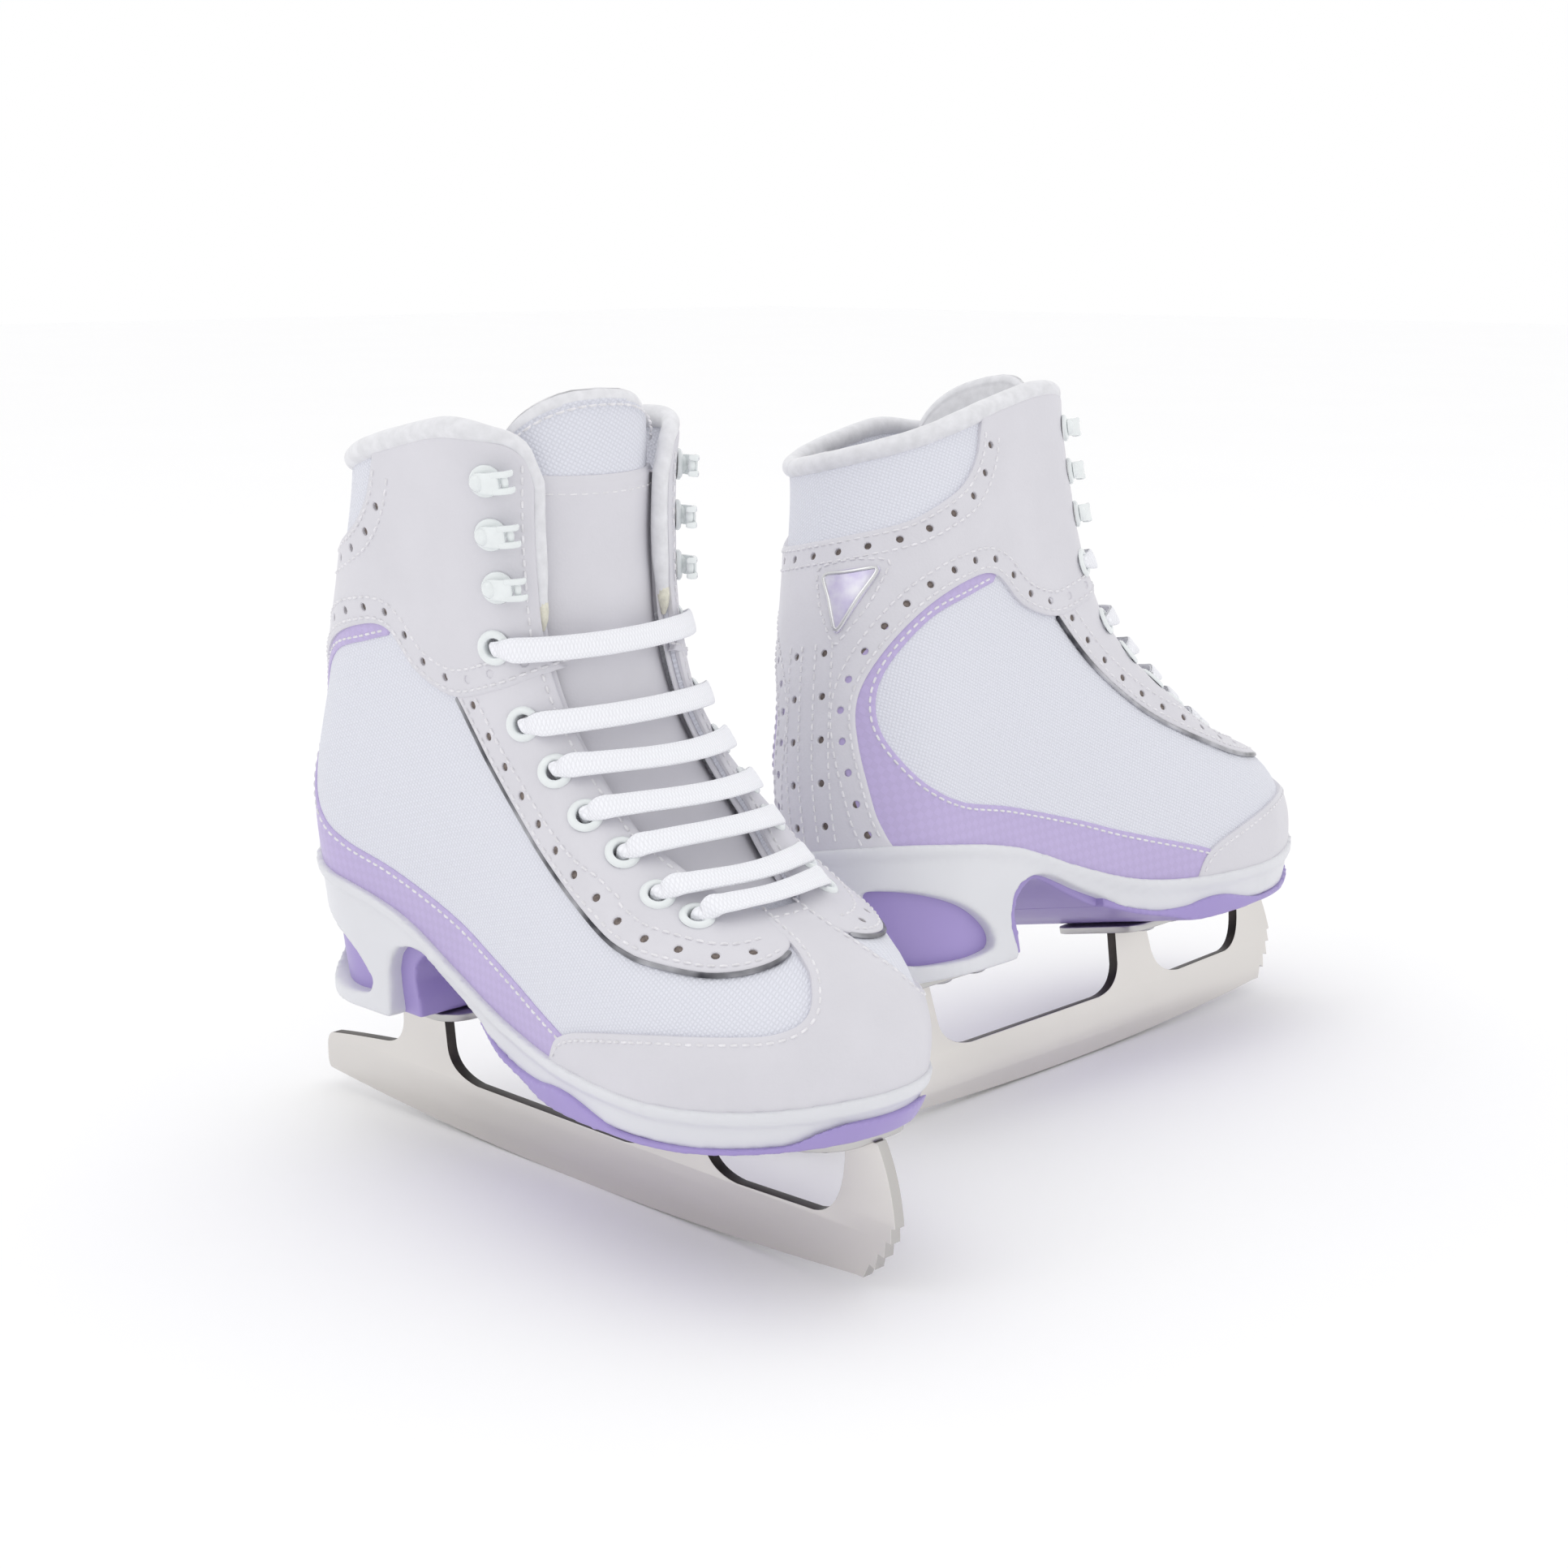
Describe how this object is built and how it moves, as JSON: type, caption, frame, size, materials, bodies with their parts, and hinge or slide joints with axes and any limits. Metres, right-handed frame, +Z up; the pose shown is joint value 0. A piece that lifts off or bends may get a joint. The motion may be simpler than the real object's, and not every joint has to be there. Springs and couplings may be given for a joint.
{
  "type": "pair of figure skates",
  "caption": "Pair of lace-up figure skates: heeled ankle boots with padded tongues, lacing hooks and toe-pick runners.",
  "frame": {"origin": "centre of the pair's bounding box in plan, on the surface that the runners stand on", "axes": "+Z up; the left skate's toe points along +X and the right skate's toe along +Y"},
  "size_m": [0.2686, 0.3818, 0.2481],
  "materials": {
    "runner_steel": "satin ground",
    "plate_steel": "satin",
    "screw_steel": "bright",
    "sole_white": "smooth moulded",
    "sole_lilac": "smooth moulded",
    "board": "pressed fibre",
    "fleece": "brushed fleece",
    "woven": "plain weave canvas",
    "leather": "fine grain, semi matt",
    "lilac_trim": "checker embossed, semi matt",
    "cotton": "flat woven lace",
    "enamel": "white enamel"
  },
  "bodies": {
    "root": {"left_ankle_overlay": "leather", "left_band_inner": "lilac_trim", "left_band_outer": "lilac_trim", "left_blade": "runner_steel", "left_collar_roll": "fleece", "left_eyestay_inner": "leather", "left_eyestay_outer": "leather", "left_footbed": "fleece", "left_heel_core": "sole_lilac", "left_heel_plate": "plate_steel", "left_heel_screw_inner": "screw_steel", "left_heel_screw_outer": "screw_steel", "left_hook_inner_1": "enamel", "left_hook_inner_2": "enamel", "left_hook_inner_3": "enamel", "left_hook_outer_1": "enamel", "left_hook_outer_2": "enamel", "left_hook_outer_3": "enamel", "left_insole_board": "board", "left_lace": "cotton", "left_lining": "fleece", "left_outsole": "sole_white", "left_toe_cap": "leather", "left_toe_plate": "plate_steel", "left_toe_screw_inner": "screw_steel", "left_toe_screw_outer": "screw_steel", "left_tread": "sole_lilac", "left_upper": "woven", "right_ankle_overlay": "leather", "right_band_inner": "lilac_trim", "right_band_outer": "lilac_trim", "right_blade": "runner_steel", "right_collar_roll": "fleece", "right_eyestay_inner": "leather", "right_eyestay_outer": "leather", "right_footbed": "fleece", "right_heel_core": "sole_lilac", "right_heel_plate": "plate_steel", "right_heel_screw_inner": "screw_steel", "right_heel_screw_outer": "screw_steel", "right_hook_inner_1": "enamel", "right_hook_inner_2": "enamel", "right_hook_inner_3": "enamel", "right_hook_outer_1": "enamel", "right_hook_outer_2": "enamel", "right_hook_outer_3": "enamel", "right_insole_board": "board", "right_lace": "cotton", "right_lining": "fleece", "right_outsole": "sole_white", "right_toe_cap": "leather", "right_toe_plate": "plate_steel", "right_toe_screw_inner": "screw_steel", "right_toe_screw_outer": "screw_steel", "right_tread": "sole_lilac", "right_upper": "woven"},
    "left_tongue_body": {"left_tongue": "woven", "left_tongue_cover": "leather"},
    "right_tongue_body": {"right_tongue": "woven", "right_tongue_cover": "leather"}
  },
  "joints": [
    {"name": "left_tongue_hinge", "type": "hinge", "parent": "root", "child": "left_tongue_body", "pos_m": [0.09574, -0.14196, 0.09848], "axis": [0, 1, 0], "range_deg": [-12, 0], "stiffness_Nm_per_rad": 0.6, "springref_deg": 20.05},
    {"name": "right_tongue_hinge", "type": "hinge", "parent": "root", "child": "right_tongue_body", "pos_m": [0.0138, 0.15234, 0.09622], "axis": [-0.977, 0, -0.213], "range_deg": [-12, 0], "stiffness_Nm_per_rad": 0.6, "springref_deg": 20.05}
  ]
}
